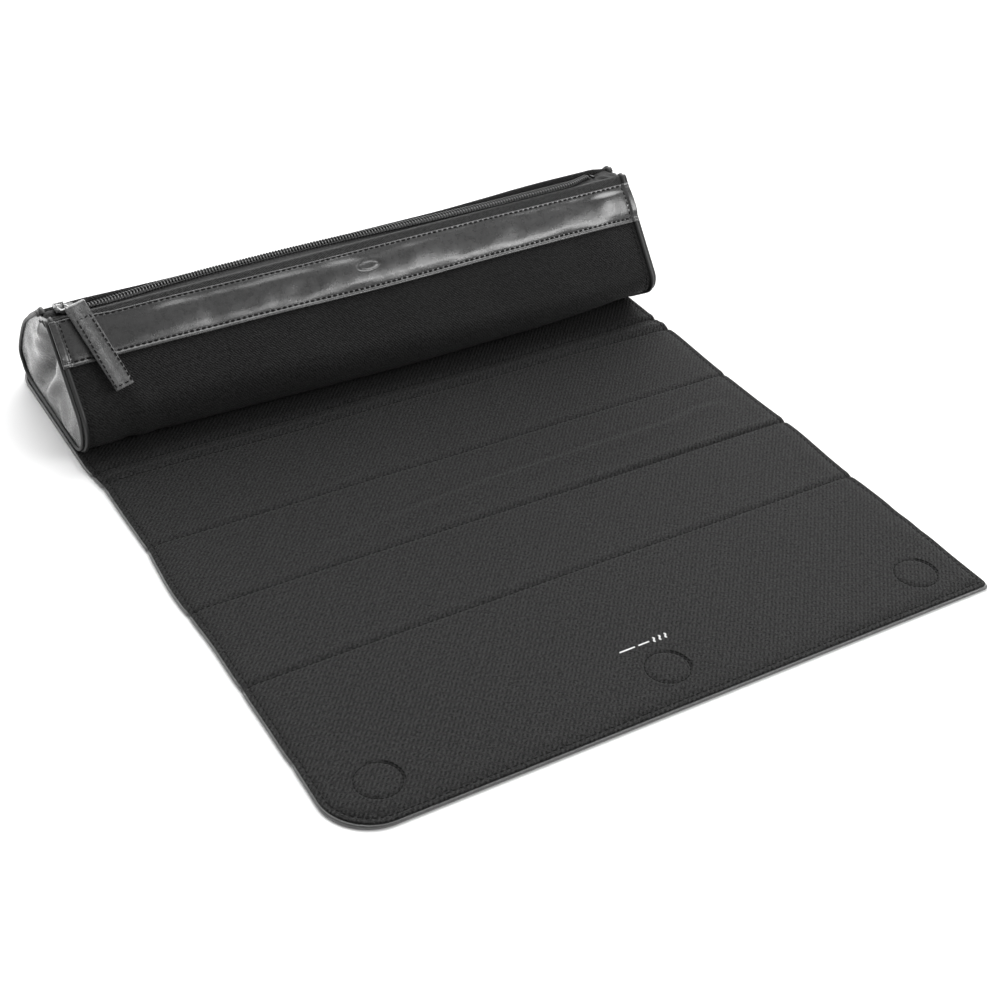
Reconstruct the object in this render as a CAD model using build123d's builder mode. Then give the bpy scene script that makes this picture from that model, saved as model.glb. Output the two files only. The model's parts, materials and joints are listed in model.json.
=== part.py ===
"""Roll-up pouch with a heat mat for a hair styling tool.

A zipped, padded pouch stands on the base panel of a flat mat. The mat's other six panels fold at sewn
lines and close round the pouch, where magnets in the last panel meet steel discs in the base panel.

Frame: origin at the middle of the whole part's footprint, on the floor. +X runs along the pouch with the
zipper closing towards -X, +Y runs from the mat's free edge to the pouch, +Z is up. Millimetres.
"""

import os

from build123d import *

# ---- driving dimensions: mat ----
MAT_WIDTH = 350.0
MAT_FRONT_Y = -201.8
LEATHER = 1.0  # under-layer
PAD = 2.0
CLOTH = 1.0
MAT_TOP = LEATHER + PAD + CLOTH
TURN_IN = 6.0  # width of the leather edge that is turned in round the pads
FOLD_GAP = 0.6  # clear gap between neighbouring panels at a fold line

# radii of a panel's free corners: front left, front right, rear right, rear left
CORNER_RADII = {"flap": (25.0, 4.0, 0, 0), "base": (0, 0, 5.0, 5.0)}

# panel depths along Y, from the mat's free edge to the pouch
PANEL_DEPTHS = {
    "flap": 48.0,
    "heel": 53.5,
    "rear": 57.5,
    "top": 54.0,
    "front": 60.0,
    "nose": 11.5,
    "base": 113.5,
}

MAGNET_R = 8.0
MAGNET_EDGE = 21.3  # from the mat's free edge to the magnets' centres
MAGNET_X = (-148.0, 0.0, 148.0)
DISC_THICKNESS = 1.0
DISC_Y = 181.8  # where the magnets arrive when the mat is closed

# ---- driving dimensions: pouch ----
HALF_SHELL = 175.0  # the shell's half length along X
CAP = 2.0
SHELL = 1.2
FOAM = 3.0
LINING = 0.8
PIPING = 1.6  # how far the piping stands out from the shell
PIPING_WIDTH = 3.0
PIPING_LIFT = 0.5  # the piping ends this far above the mat
BAND_WIDTH = 29.0
BAND = 1.2

# ---- driving dimensions: zipper ----
ZIP_RUN = 14.5  # the mouth's size along Y
ZIP_DROP = 3.2  # how much lower the mouth's rear edge lies
MOUTH_LENGTH = (ZIP_RUN**2 + ZIP_DROP**2) ** 0.5
MOUTH_HALF = 7.0
TAPE_DEPTH = 1.6  # the tape's top lies this far under the mouth's edges
TAPE = 0.6
COIL_WIDTH = 2.3
COIL_HEIGHT = 2.0
COIL_LEFT_X = -167.6
COIL_RIGHT_X = 159.0
TAPE_TAB_LENGTH = {"left": 5.0, "right": 12.0}
TAPE_TAB_HALF = 6.2
TAPE_TAB = 0.9

# ---- driving dimensions: slider, link and pull tab; u, v and x are the zipper's own axes ----
SLIDER_X = -164.0  # with the zipper closed
SLIDER_LENGTH = 11.0
SLIDER_HALF_WIDTH = 4.6
SLIDER_WALL = 1.2
SLIDER_WALL_LENGTH = 6.0
PLATE_UNDER = COIL_HEIGHT + 0.4
PLATE_OVER = PLATE_UNDER + 1.4
BRIDGE_WIDTH = 2.0
BRIDGE_WIRE = 0.7
WIRE_R = 0.5
LINK_LENGTH = 16.0
LINK_WIDTH = 12.5
LINK_CORNER_R = 2.0
LINK_LEFT = -4.3  # the left bar, from the slider's middle
LINK_FRONT = -9.5  # the front bar, which carries the pull tab
LINK_Z = 5.2  # the wire's centre, above the tape
PULL_WIDTH = 10.6
PULL_LENGTH = 50.0
PLY = 1.6
PULL_X = 3.5  # the tab's middle on the front bar
PULL_LEAN = 11.0  # the tab lies down the pouch's front and leans a little to the right
PULL_REACH = 33.6
PULL_FALL = 33.6
PULL_TOP = 1.6  # how far the folded end reaches past the bar

BASE_ALIGN = (Align.CENTER, Align.CENTER, Align.MIN)


class End:
    """The pouch's section at one end: corners and their radii."""

    def __init__(self, x, nose_corner_y, nose_r, lip_y, lip_z, rear_corner_y):
        self.x = x
        self.lip = (lip_y, lip_z)
        self.corners = [
            (nose_corner_y, MAT_TOP),
            (lip_y, lip_z),
            (lip_y + ZIP_RUN, lip_z - ZIP_DROP),
            (rear_corner_y, MAT_TOP),
        ]
        self.radii = [nose_r, 6.0, 6.0, 9.4]


# the soft pouch stands a little lower at its left end
LEFT = End(-HALF_SHELL, 69.5, 16.5, 133.5, 68.0, 209.5)
RIGHT = End(HALF_SHELL, 68.5, 18.3, 129.0, 77.5, 213.5)


def at(x):
    """The section at any x, in between the two ends or a little past them."""
    t = (x - LEFT.x) / (RIGHT.x - LEFT.x)

    def mix(a, b):
        return a + (b - a) * t

    return End(
        x,
        mix(LEFT.corners[0][0], RIGHT.corners[0][0]),
        mix(LEFT.radii[0], RIGHT.radii[0]),
        mix(LEFT.lip[0], RIGHT.lip[0]),
        mix(LEFT.lip[1], RIGHT.lip[1]),
        mix(LEFT.corners[3][0], RIGHT.corners[3][0]),
    )


def section(end, grow=0.0):
    """The pouch's outline at one end, moved outward by grow."""
    with BuildSketch(Plane.YZ.offset(end.x), mode=Mode.PRIVATE) as outline:
        with BuildLine():
            FilletPolyline(*end.corners, radius=end.radii, close=True)
        make_face()
        if grow:
            offset(amount=grow, kind=Kind.INTERSECTION)
    return outline.sketch


def mouth_quad(end, u0, u1, v0, v1):
    """A quad in the zipper's own axes: u runs from the mouth's front edge to its rear edge, v is up."""
    along = (ZIP_RUN / MOUTH_LENGTH, -ZIP_DROP / MOUTH_LENGTH)
    middle = (end.lip[0] + ZIP_RUN / 2, end.lip[1] - ZIP_DROP / 2)
    points = [
        (middle[0] + u * along[0] - v * along[1], middle[1] + u * along[1] + v * along[0])
        for u, v in ((u0, v0), (u1, v0), (u1, v1), (u0, v1))
    ]
    with BuildSketch(Plane.YZ.offset(end.x), mode=Mode.PRIVATE) as quad:
        with BuildLine():
            Polyline(*points, close=True)
        make_face()
    return quad.sketch


def save(piece, label):
    """Labels a finished piece and writes its STEP."""
    piece.part.label = label
    export_step(piece.part, f"parts/{label}.step")


def wall_layer(label, outer, inner):
    """One layer of the pouch's wall, between two offsets of the outline, open at the zipper mouth."""
    with BuildPart() as layer:
        loft([section(LEFT, outer), section(RIGHT, outer)])
        loft([section(LEFT, inner), section(RIGHT, inner)], mode=Mode.SUBTRACT)
        loft(
            [mouth_quad(e, -MOUTH_HALF, MOUTH_HALF, -12, 8) for e in (LEFT, RIGHT)],
            mode=Mode.SUBTRACT,
        )
    save(layer, label)


def pouch_walls():
    wall_layer("pouch_shell", 0.0, -SHELL)
    wall_layer("pouch_padding", -SHELL, -SHELL - FOAM)
    wall_layer("pouch_lining", -SHELL - FOAM, -SHELL - FOAM - LINING)


def band_region(end):
    """The part of a section that the band covers, from the mouth's front edge down the front wall."""
    nose, lip = Vector(*end.corners[0]), Vector(*end.lip)
    down = (nose - lip).normalized()
    out = Vector(down.Y, -down.X)
    up = Vector(ZIP_DROP, ZIP_RUN).normalized()
    mouth_edge = lip + Vector(ZIP_RUN, -ZIP_DROP).normalized() * (MOUTH_LENGTH / 2 - MOUTH_HALF)
    hem = lip + down * BAND_WIDTH
    reach = 5.0
    points = [mouth_edge - up * reach, mouth_edge + up * reach, lip + (out - down) * reach]
    points += [hem + out * reach, hem - out * reach]
    with BuildSketch(Plane.YZ.offset(end.x), mode=Mode.PRIVATE) as region:
        with BuildLine():
            Polyline(*points, close=True)
        make_face()
    return region.sketch


def front_band():
    """The leather band on the front wall, from the zipper mouth down, between the two pipings."""
    with BuildPart() as band:
        loft([section(e, BAND) for e in (LEFT, RIGHT)])
        loft([section(e) for e in (LEFT, RIGHT)], mode=Mode.SUBTRACT)
        loft([band_region(e) for e in (LEFT, RIGHT)], mode=Mode.INTERSECT)
        Box(2 * (HALF_SHELL - PIPING_WIDTH), 500, 500, mode=Mode.INTERSECT)
    save(band, "front_leather_band")


def end_caps():
    for side, end in (("left", LEFT), ("right", RIGHT)):
        outward = -1 if side == "left" else 1
        with BuildPart() as cap:
            extrude(section(end), amount=CAP * outward)
        save(cap, f"{side}_end_cap")


def end_piping():
    """A raised seam round each end, ending just above the mat."""
    for side, outward in (("left", -1), ("right", 1)):
        with BuildPart() as piping:
            loft([section(e, PIPING) for e in (LEFT, RIGHT)])
            loft([section(e) for e in (LEFT, RIGHT)], mode=Mode.SUBTRACT)
            with Locations((outward * (HALF_SHELL - PIPING_WIDTH / 2), 0, MAT_TOP + PIPING_LIFT)):
                Box(PIPING_WIDTH, 500, 100, align=BASE_ALIGN, mode=Mode.INTERSECT)
        save(piping, f"{side}_end_piping")


def zipper():
    """Tapes and coils along the mouth, with their stops and end tabs."""
    floor = -TAPE_DEPTH
    for name, sign in (("front", -1), ("rear", 1)):
        with BuildPart() as tape:
            loft([mouth_quad(e, sign * 0.2, sign * MOUTH_HALF, floor - TAPE, floor) for e in (LEFT, RIGHT)])
        save(tape, f"zipper_tape_{name}")
        coil_ends = (at(COIL_LEFT_X), at(COIL_RIGHT_X))
        with BuildPart() as coil:
            loft([mouth_quad(e, sign * 0.1, sign * COIL_WIDTH, floor, floor + COIL_HEIGHT) for e in coil_ends])
        save(coil, f"zipper_coil_{name}")

    with BuildPart() as bottom_stop:
        ends = (at(COIL_RIGHT_X), at(COIL_RIGHT_X + 3))
        loft([mouth_quad(e, -COIL_WIDTH - 0.7, COIL_WIDTH + 0.7, floor, floor + COIL_HEIGHT) for e in ends])
    save(bottom_stop, "zipper_bottom_stop")

    with BuildPart() as top_stops:
        ends = (at(COIL_LEFT_X - 2.2), at(COIL_LEFT_X - 0.2))
        for sign in (-1, 1):
            loft([mouth_quad(e, sign * 0.3, sign * COIL_WIDTH, floor, floor + 1.8) for e in ends])
    save(top_stops, "zipper_top_stops")

    for side, sign in (("left", -1), ("right", 1)):
        near = at(sign * (HALF_SHELL - TAPE_TAB_LENGTH[side]))
        far = at(sign * (HALF_SHELL - PIPING_WIDTH))
        with BuildPart() as end_tab:
            loft([mouth_quad(e, -TAPE_TAB_HALF, TAPE_TAB_HALF, floor, floor + TAPE_TAB) for e in (near, far)])
        save(end_tab, f"{side}_tape_tab")


def zipper_plane(x):
    """A plane on the tape's centreline at x: local x along the zipper, local y to the rear, local z up."""
    here, ahead = at(x), at(x + 100)
    origin = (x, here.lip[0] + ZIP_RUN / 2, here.lip[1] - ZIP_DROP / 2)
    along = Vector(100, ahead.lip[0] - here.lip[0], ahead.lip[1] - here.lip[1])
    up = along.cross(Vector(0, ZIP_RUN, -ZIP_DROP))
    return Plane(origin=origin, x_dir=along, z_dir=up).offset(-TAPE_DEPTH)


def slider():
    """The slider's cast body over the coils, and the small bridge that holds the link."""
    plane = zipper_plane(SLIDER_X)
    wall_v = SLIDER_HALF_WIDTH - SLIDER_WALL / 2
    with BuildPart() as body:
        with BuildSketch(plane.offset(PLATE_UNDER)):
            RectangleRounded(SLIDER_LENGTH, 2 * SLIDER_HALF_WIDTH, 2.2)
        extrude(amount=PLATE_OVER - PLATE_UNDER)
        fillet(body.faces().sort_by(Axis(plane.origin, plane.z_dir))[-1].edges(), 0.5)
        with BuildSketch(plane.offset(0.5)):
            with Locations((0, -wall_v), (0, wall_v)):
                Rectangle(SLIDER_WALL_LENGTH, SLIDER_WALL)
        extrude(amount=PLATE_UNDER)
    save(body, "slider_body")

    gap = WIRE_R + 0.3
    inner_top = LINK_Z + gap
    x0, x1 = LINK_LEFT - gap, LINK_LEFT + 3.4
    with BuildPart() as bridge:
        with BuildSketch(Plane(origin=plane.origin, x_dir=plane.x_dir, z_dir=-plane.y_dir)):
            with BuildLine():
                Polyline(
                    (x0 - BRIDGE_WIRE, PLATE_OVER),
                    (x0 - BRIDGE_WIRE, inner_top + BRIDGE_WIRE),
                    (x1 + BRIDGE_WIRE, inner_top + BRIDGE_WIRE),
                    (x1 + BRIDGE_WIRE, PLATE_OVER),
                    (x1, PLATE_OVER),
                    (x1, inner_top),
                    (x0, inner_top),
                    (x0, PLATE_OVER),
                    close=True,
                )
            make_face()
        extrude(amount=BRIDGE_WIDTH / 2, both=True)
    save(bridge, "slider_bridge")


def pull_link():
    """A wire link through the bridge; its front bar carries the pull tab."""
    x0, y0 = LINK_LEFT, LINK_FRONT
    x1, y1 = x0 + LINK_LENGTH, y0 + LINK_WIDTH
    with BuildPart() as link:
        with BuildLine(zipper_plane(SLIDER_X).offset(LINK_Z)) as route:
            FilletPolyline((x0, y0), (x1, y0), (x1, y1), (x0, y1), radius=LINK_CORNER_R, close=True)
        with BuildSketch(Plane(origin=route.line @ 0, z_dir=route.line % 0)):
            Circle(WIRE_R)
        sweep()
    save(link, "pull_link")


def pull_tab():
    """Two leather plies, folded round the link's front bar and stitched together below it."""
    slider_plane = zipper_plane(SLIDER_X)
    bar = slider_plane.from_local_coords(Vector(PULL_X, LINK_FRONT, LINK_Z))
    down = Vector(PULL_LEAN, -PULL_REACH, -PULL_FALL).normalized()
    across = (Vector(1, 0, 0) - down * down.X).normalized()
    plane = Plane(origin=bar, x_dir=across, z_dir=down.cross(across))
    bar_line = Plane(origin=bar, x_dir=plane.z_dir, z_dir=slider_plane.x_dir)
    for name, side in (("front", 1), ("rear", -1)):
        with BuildPart() as ply:
            with BuildSketch(plane):
                with Locations((0, PULL_TOP - PULL_LENGTH / 2)):
                    RectangleRounded(PULL_WIDTH, PULL_LENGTH, 1.0)
            extrude(amount=side * PLY)
            with BuildSketch(bar_line):
                Circle(WIRE_R + 0.1)
            extrude(amount=PULL_WIDTH, both=True, mode=Mode.SUBTRACT)
        save(ply, f"pull_tab_{name}_ply")


def panel_spans():
    """Each panel's name with its lower and upper Y."""
    y = MAT_FRONT_Y
    spans = {}
    for name, depth in PANEL_DEPTHS.items():
        spans[name] = (y, y + depth)
        y += depth
    return spans


def panel_sketch(name, y0, y1, inset=0.0):
    """A panel's outline. Only the free edges are inset; fold edges keep half the fold gap."""
    low = y0 + (inset if name == "flap" else FOLD_GAP / 2)
    high = y1 - (inset if name == "base" else FOLD_GAP / 2)
    half = MAT_WIDTH / 2 - inset
    radii = [max(r - inset, 0) for r in CORNER_RADII.get(name, (0, 0, 0, 0))]
    points = [(-half, low), (half, low), (half, high), (-half, high)]
    with BuildLine() as edge:
        FilletPolyline(*points, radius=radii, close=True)
    return edge.line


def mat_panels():
    """Cloth, pad and leather of every panel between the sewn fold lines."""
    for name, (y0, y1) in panel_spans().items():
        whole = panel_sketch(name, y0, y1)
        inner = panel_sketch(name, y0, y1, TURN_IN)
        with BuildPart() as leather:
            with BuildSketch():
                make_face(whole)
            extrude(amount=LEATHER + PAD)
            with BuildSketch(Plane.XY.offset(LEATHER)):
                make_face(inner)
            extrude(amount=PAD, mode=Mode.SUBTRACT)
        save(leather, f"{name}_panel_leather")
        with BuildPart() as cloth:
            with BuildSketch(Plane.XY.offset(LEATHER + PAD)):
                make_face(whole)
            extrude(amount=CLOTH)
        save(cloth, f"{name}_panel_cloth")
        with BuildPart() as pad:
            with BuildSketch(Plane.XY.offset(LEATHER)):
                make_face(inner)
            extrude(amount=PAD)
            if name == "flap":
                with Locations(*magnet_places(MAT_FRONT_Y + MAGNET_EDGE, LEATHER)):
                    Cylinder(MAGNET_R, PAD, align=BASE_ALIGN, mode=Mode.SUBTRACT)
            if name == "base":
                with Locations(*magnet_places(DISC_Y, LEATHER)):
                    Cylinder(MAGNET_R, DISC_THICKNESS, align=BASE_ALIGN, mode=Mode.SUBTRACT)
        save(pad, f"{name}_panel_pad")


def magnet_places(y, z):
    return [(x, y, z) for x in MAGNET_X]


def magnets():
    """Three magnets in the flap and the three steel discs in the base that they meet."""
    with BuildPart() as magnet_set:
        with Locations(*magnet_places(MAT_FRONT_Y + MAGNET_EDGE, LEATHER)):
            Cylinder(MAGNET_R, PAD, align=BASE_ALIGN)
    save(magnet_set, "flap_magnets")
    with BuildPart() as disc_set:
        with Locations(*magnet_places(DISC_Y, LEATHER)):
            Cylinder(MAGNET_R, DISC_THICKNESS, align=BASE_ALIGN)
    save(disc_set, "base_steel_discs")


os.makedirs("parts", exist_ok=True)
pouch_walls()
front_band()
end_caps()
end_piping()
zipper()
slider()
pull_link()
pull_tab()
mat_panels()
magnets()
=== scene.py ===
"""The looks of a roll-up pouch with a heat mat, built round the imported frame.

Every point is in millimetres, in the frame's own axes, until add_object() makes a mesh in metres.
"""

import json
import math

import bmesh
import bpy
import numpy as np
from mathutils import Euler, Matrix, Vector


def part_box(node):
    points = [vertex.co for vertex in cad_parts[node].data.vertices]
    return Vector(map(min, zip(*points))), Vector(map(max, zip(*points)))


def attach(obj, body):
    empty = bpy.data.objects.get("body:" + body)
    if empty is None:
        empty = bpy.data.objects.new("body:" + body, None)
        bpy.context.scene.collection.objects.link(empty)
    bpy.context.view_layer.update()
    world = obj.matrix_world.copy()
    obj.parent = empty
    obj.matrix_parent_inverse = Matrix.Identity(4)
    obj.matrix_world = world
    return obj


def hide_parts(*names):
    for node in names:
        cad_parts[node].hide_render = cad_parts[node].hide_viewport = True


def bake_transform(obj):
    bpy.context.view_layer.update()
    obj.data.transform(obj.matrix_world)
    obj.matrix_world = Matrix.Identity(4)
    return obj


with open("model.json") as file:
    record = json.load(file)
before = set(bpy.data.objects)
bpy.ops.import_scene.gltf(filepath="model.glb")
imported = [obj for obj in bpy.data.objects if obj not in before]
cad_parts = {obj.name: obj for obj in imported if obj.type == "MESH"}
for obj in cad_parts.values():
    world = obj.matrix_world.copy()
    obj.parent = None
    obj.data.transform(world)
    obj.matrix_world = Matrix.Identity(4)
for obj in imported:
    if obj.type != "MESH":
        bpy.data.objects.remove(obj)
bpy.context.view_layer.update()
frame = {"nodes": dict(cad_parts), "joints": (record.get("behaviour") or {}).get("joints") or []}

MM = 0.001


# ---------------------------------------------------------------- small tools


def smoothstep(low, high, value):
    t = np.clip((value - low) / (high - low), 0, 1)
    return t * t * (3 - 2 * t)


def bump(value, centre, width):
    return np.exp(-(((value - centre) / width) ** 2))


def ripple(seed, size, waves=14):
    """A smooth random field over a plane, about one unit high, with bumps about size across."""
    rng = np.random.default_rng(seed)
    angle = rng.uniform(0, 2 * np.pi, waves)
    rate = 2 * np.pi / size * rng.uniform(0.4, 1.1, waves)
    phase = rng.uniform(0, 2 * np.pi, waves)

    def field(x, y):
        total = 0
        for a, k, p in zip(angle, rate, phase):
            total = total + np.sin(k * (x * math.cos(a) + y * math.sin(a)) + p)
        return total / math.sqrt(waves / 2)

    return field


def node_box(name):
    """A CAD node's lowest and highest corner, in millimetres."""
    low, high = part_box(name)
    return np.array(low) / MM, np.array(high) / MM


def joint_data(name):
    return next(j for j in frame["joints"] if j["name"] == name)


def unit(v):
    return np.asarray(v, float) / np.linalg.norm(v)


def units(rows):
    """Every vector of an array, at length one."""
    return rows / np.linalg.norm(rows, axis=-1, keepdims=True)


def run_along(path):
    """How far each point of a path is from its start."""
    return np.concatenate([[0], np.cumsum(np.linalg.norm(np.diff(path, axis=0), axis=1))])


def add_to_scene(name, data):
    obj = bpy.data.objects.new(name, data)
    bpy.context.scene.collection.objects.link(obj)
    return obj


def settle(body, slot, *pieces):
    """Pieces that ride one body; the slot is not used."""
    for piece in pieces:
        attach(piece, body)


def add_object(name, points, faces, material, uvs=None, sharp=50):
    """An object made from points in millimetres, shaded smooth except at edges over the sharp angle."""
    mesh = bpy.data.meshes.new(name)
    mesh.from_pydata((np.asarray(points) * MM).tolist(), [], faces)
    work = bmesh.new()
    work.from_mesh(mesh)
    bmesh.ops.recalc_face_normals(work, faces=work.faces)
    work.to_mesh(mesh)
    work.free()
    mesh.polygons.foreach_set("use_smooth", np.ones(len(mesh.polygons), bool))
    if uvs is not None:
        corners = np.zeros(len(mesh.loops), np.int32)
        mesh.loops.foreach_get("vertex_index", corners)
        layer = mesh.uv_layers.new(name="cut")
        layer.data.foreach_set("uv", (np.asarray(uvs) * MM)[corners].ravel())
    mesh.set_sharp_from_angle(angle=math.radians(sharp))
    mesh.materials.append(material)
    return add_to_scene(name, mesh)


def grid_faces(rows, cols, start=0, wrap_rows=False, wrap_cols=False):
    r = np.arange(rows if wrap_rows else rows - 1)
    c = np.arange(cols if wrap_cols else cols - 1)
    r0, c0 = np.meshgrid(r, c, indexing="ij")
    r1, c1 = (r0 + 1) % rows, (c0 + 1) % cols
    quads = np.stack([r0 * cols + c0, r0 * cols + c1, r1 * cols + c1, r1 * cols + c0], -1)
    return (quads.reshape(-1, 4) + start).tolist()


def closed_sheet(top, under):
    """Points and faces of a closed sheet between two grids of points."""
    rows, cols = top.shape[:2]
    count = rows * cols
    points = np.concatenate([top.reshape(-1, 3), under.reshape(-1, 3)])
    faces = grid_faces(rows, cols) + [f[::-1] for f in grid_faces(rows, cols, count)]
    border = list(range(cols))
    border += [r * cols + cols - 1 for r in range(1, rows)]
    border += [(rows - 1) * cols + c for c in range(cols - 2, -1, -1)]
    border += [r * cols for r in range(rows - 2, 0, -1)]
    for a, b in zip(border, border[1:] + border[:1]):
        faces.append((b, a, a + count, b + count))
    return points, faces


def sheet_object(name, top, under, material, uv_top, sharp=50):
    points, faces = closed_sheet(top, under)
    uvs = np.concatenate([uv_top.reshape(-1, 2)] * 2)
    return add_object(name, points, faces, material, uvs, sharp)


TUBE_START = (0.31, 0.17, 0.93)  # no tube runs in this direction


def circle(side, other, sides):
    """Unit circles round many points, each spanned by two directions."""
    turn = np.linspace(0, 2 * np.pi, sides, endpoint=False)
    return np.cos(turn)[None, :, None] * side[:, None] + np.sin(turn)[None, :, None] * other[:, None]


def tube_object(name, path, radius, material, sides=10, closed=False, sharp=70):
    """A round tube along a path."""
    path = np.asarray(path, float)
    count = len(path)
    ahead = np.roll(path, -1, 0) if closed else np.vstack([path[1:], 2 * path[-1:] - path[-2:-1]])
    behind = np.roll(path, 1, 0) if closed else np.vstack([2 * path[:1] - path[1:2], path[:-1]])
    tangent = units(ahead - behind)
    side = units(np.cross(tangent, TUBE_START))
    points = (path[:, None] + radius * circle(side, np.cross(tangent, side), sides)).reshape(-1, 3)
    faces = grid_faces(count, sides, wrap_rows=closed, wrap_cols=True)
    if not closed:
        faces.append(tuple(range(sides)))
        faces.append(tuple(range((count - 1) * sides, count * sides)))
    return add_object(name, points, faces, material, sharp=sharp)


def resample(path, step):
    """Points about step apart along a path, with their directions."""
    path = np.asarray(path, float)
    length = run_along(path)
    count = max(2, int(round(length[-1] / step)))
    middle = (np.arange(count) + 0.5) * length[-1] / count
    reach = 0.3 * length[-1] / count

    def at(s):
        return np.stack([np.interp(s, length, path[:, k]) for k in range(path.shape[1])], 1)

    return at(middle), units(at(middle + reach) - at(middle - reach))


STITCH_SIDES = 6


def stitches_object(name, centres, directions, ups, material, length=2.5, radius=0.27, rise=0.1, dip=0.45):
    """Short threads lying on a surface, each with its two ends going into it."""
    stations = ((-0.5, -dip, 0.75), (-0.36, 0.0, 1), (0, rise, 1), (0.36, 0.0, 1), (0.5, -dip, 0.75))
    ring = circle(units(np.cross(directions, ups)), ups, STITCH_SIDES)
    rings = []
    for along, height, size in stations:
        spine = centres + directions * (along * length) + ups * height
        rings.append(spine[:, None] + radius * size * ring)
    points = np.stack(rings, 1)
    per = len(stations) * STITCH_SIDES
    one = grid_faces(len(stations), STITCH_SIDES, wrap_cols=True)
    one += [list(range(STITCH_SIDES)), list(range(per - STITCH_SIDES, per))]
    faces = [[v + k * per for v in f] for k in range(len(centres)) for f in one]
    return add_object(name, points.reshape(-1, 3), faces, material, sharp=80)


# ---------------------------------------------------------------- materials


class Shade:
    """A node material being built: links sockets by short calls."""

    def __init__(self, name):
        self.material = bpy.data.materials.new(name)
        self.material.use_nodes = True
        self.tree = self.material.node_tree
        self.shader = self.tree.nodes["Principled BSDF"]

    def node(self, kind, **settings):
        made = self.tree.nodes.new(kind)
        for key, value in settings.items():
            setattr(made, key, value)
        return made

    def put(self, node, **inputs):
        for key, value in inputs.items():
            socket = node.inputs[key.replace("_", " ")]
            if isinstance(value, bpy.types.NodeSocket):
                self.tree.links.new(value, socket)
            else:
                socket.default_value = value
        return node

    def math(self, operation, a, b=None):
        made = self.node("ShaderNodeMath", operation=operation)
        for socket, value in zip(made.inputs, (a, b)):
            if isinstance(value, bpy.types.NodeSocket):
                self.tree.links.new(value, socket)
            elif value is not None:
                socket.default_value = value
        return made.outputs[0]

    def add(self, a, b):
        return self.math("ADD", a, b)

    def times(self, a, b):
        return self.math("MULTIPLY", a, b)

    def noise(self, vector, scale, detail=3.0, rough=0.55):
        made = self.node("ShaderNodeTexNoise")
        return self.put(made, Vector=vector, Scale=scale, Detail=detail, Roughness=rough).outputs["Fac"]

    def ramp(self, factor, low, high, dark, light):
        """Greys between dark and light, as the factor goes from low to high."""
        made = self.put(self.node("ShaderNodeValToRGB"), Fac=factor)
        for element, position, grey in zip(made.color_ramp.elements, (low, high), (dark, light)):
            element.position = position
            element.color = (grey, grey, grey, 1)
        return made.outputs[0]

    def bump(self, height, distance, **under):
        """A bump of some height in millimetres, on top of Normal if that is given."""
        made = self.node("ShaderNodeBump")
        return self.put(made, Strength=1.0, Distance=distance * MM, Height=height, **under).outputs[0]

    def cut(self):
        """The pattern's coordinates in the flat cut, in metres."""
        return self.node("ShaderNodeUVMap", uv_map="cut").outputs[0]

    def solid(self):
        """The pattern's coordinates in the solid, in metres."""
        return self.node("ShaderNodeTexCoord").outputs["Object"]

    def finish(self, **inputs):
        self.put(self.shader, **inputs)
        return self.material


def twill(name, dark, light, pitch, depth, sheen, lean=50.0):
    """A woven cloth: rows of slanting threads, each broken into short floats, with slubs and fuzz. Its grey
    follows the weave's height, as painted shade between the threads and painted highlight on their tops.
    """
    s = Shade(name)
    where = s.cut()
    turned = s.put(s.node("ShaderNodeMapping"), Vector=where)
    turned.inputs["Rotation"].default_value[2] = math.radians(-lean)
    split = s.put(s.node("ShaderNodeSeparateXYZ"), Vector=turned.outputs[0])
    along, across = split.outputs[0], split.outputs[1]
    rate = 2 * math.pi / (pitch * MM)
    wander = s.times(s.noise(where, 420.0, 2.0), 4.0)
    diagonal = s.math("SINE", s.add(s.times(across, rate), wander))
    breaks = s.times(s.noise(where, 900.0, 1.0), 7.0)
    floats = s.math("SINE", s.add(s.times(along, rate * 0.45), breaks))
    woven = s.times(diagonal, s.add(0.5, s.times(floats, 0.5)))
    slubs = s.times(s.math("SUBTRACT", s.noise(where, 520.0, 4.0, 0.8), 0.5), 4.2)
    fuzz = s.add(s.times(s.noise(where, 1700.0), 0.6), slubs)
    height = s.add(s.add(woven, fuzz), 0.17)
    blotch = s.times(s.math("SUBTRACT", s.noise(where, 60.0, 5.0), 0.5), 0.4)
    # the grey is painted shade in the weave's hollows and painted highlight on the threads' tops, over the
    # cloth's own blotchy tone
    colour = s.ramp(s.add(height, blotch), 0.0, 1.0, dark, light)
    rough = s.add(0.72, s.times(blotch, 0.3))
    normal = s.bump(height, depth)
    return s.finish(
        Base_Color=colour,
        Roughness=rough,
        Normal=normal,
        Sheen_Weight=sheen,
        Sheen_Roughness=0.5,
        Specular_IOR_Level=0.2,
    )


def leather(name, dark, light, roughness, coat, grain=0.05, crease=0.1):
    """Finished leather: fine pores, small soft creases and a thin glossy coat that is worn in places."""
    s = Shade(name)
    where = s.cut()
    cells = s.node("ShaderNodeTexVoronoi", feature="DISTANCE_TO_EDGE")
    edges = s.put(cells, Vector=where, Scale=1400.0, Randomness=1.0).outputs["Distance"]
    pores = s.math("MINIMUM", s.times(edges, 3.0), 1.0)
    soft = s.noise(where, 330.0, 6.0, 0.7)
    folds = s.noise(where, 60.0, 4.0)
    wear = s.noise(where, 260.0, 6.0, 0.75)
    colour = s.ramp(s.add(s.times(wear, 0.8), s.times(pores, 0.2)), 0.35, 0.75, dark, light)
    rough = s.add(roughness - 0.2, s.times(wear, 0.4))
    fine = s.bump(pores, grain)
    middle = s.bump(soft, 2.6 * grain, Normal=fine)
    normal = s.bump(folds, crease, Normal=middle)
    return s.finish(
        Base_Color=colour,
        Roughness=rough,
        Normal=normal,
        Coat_Weight=coat,
        Coat_Roughness=0.25,
        Coat_Normal=normal,
        Specular_IOR_Level=0.5,
    )


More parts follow.
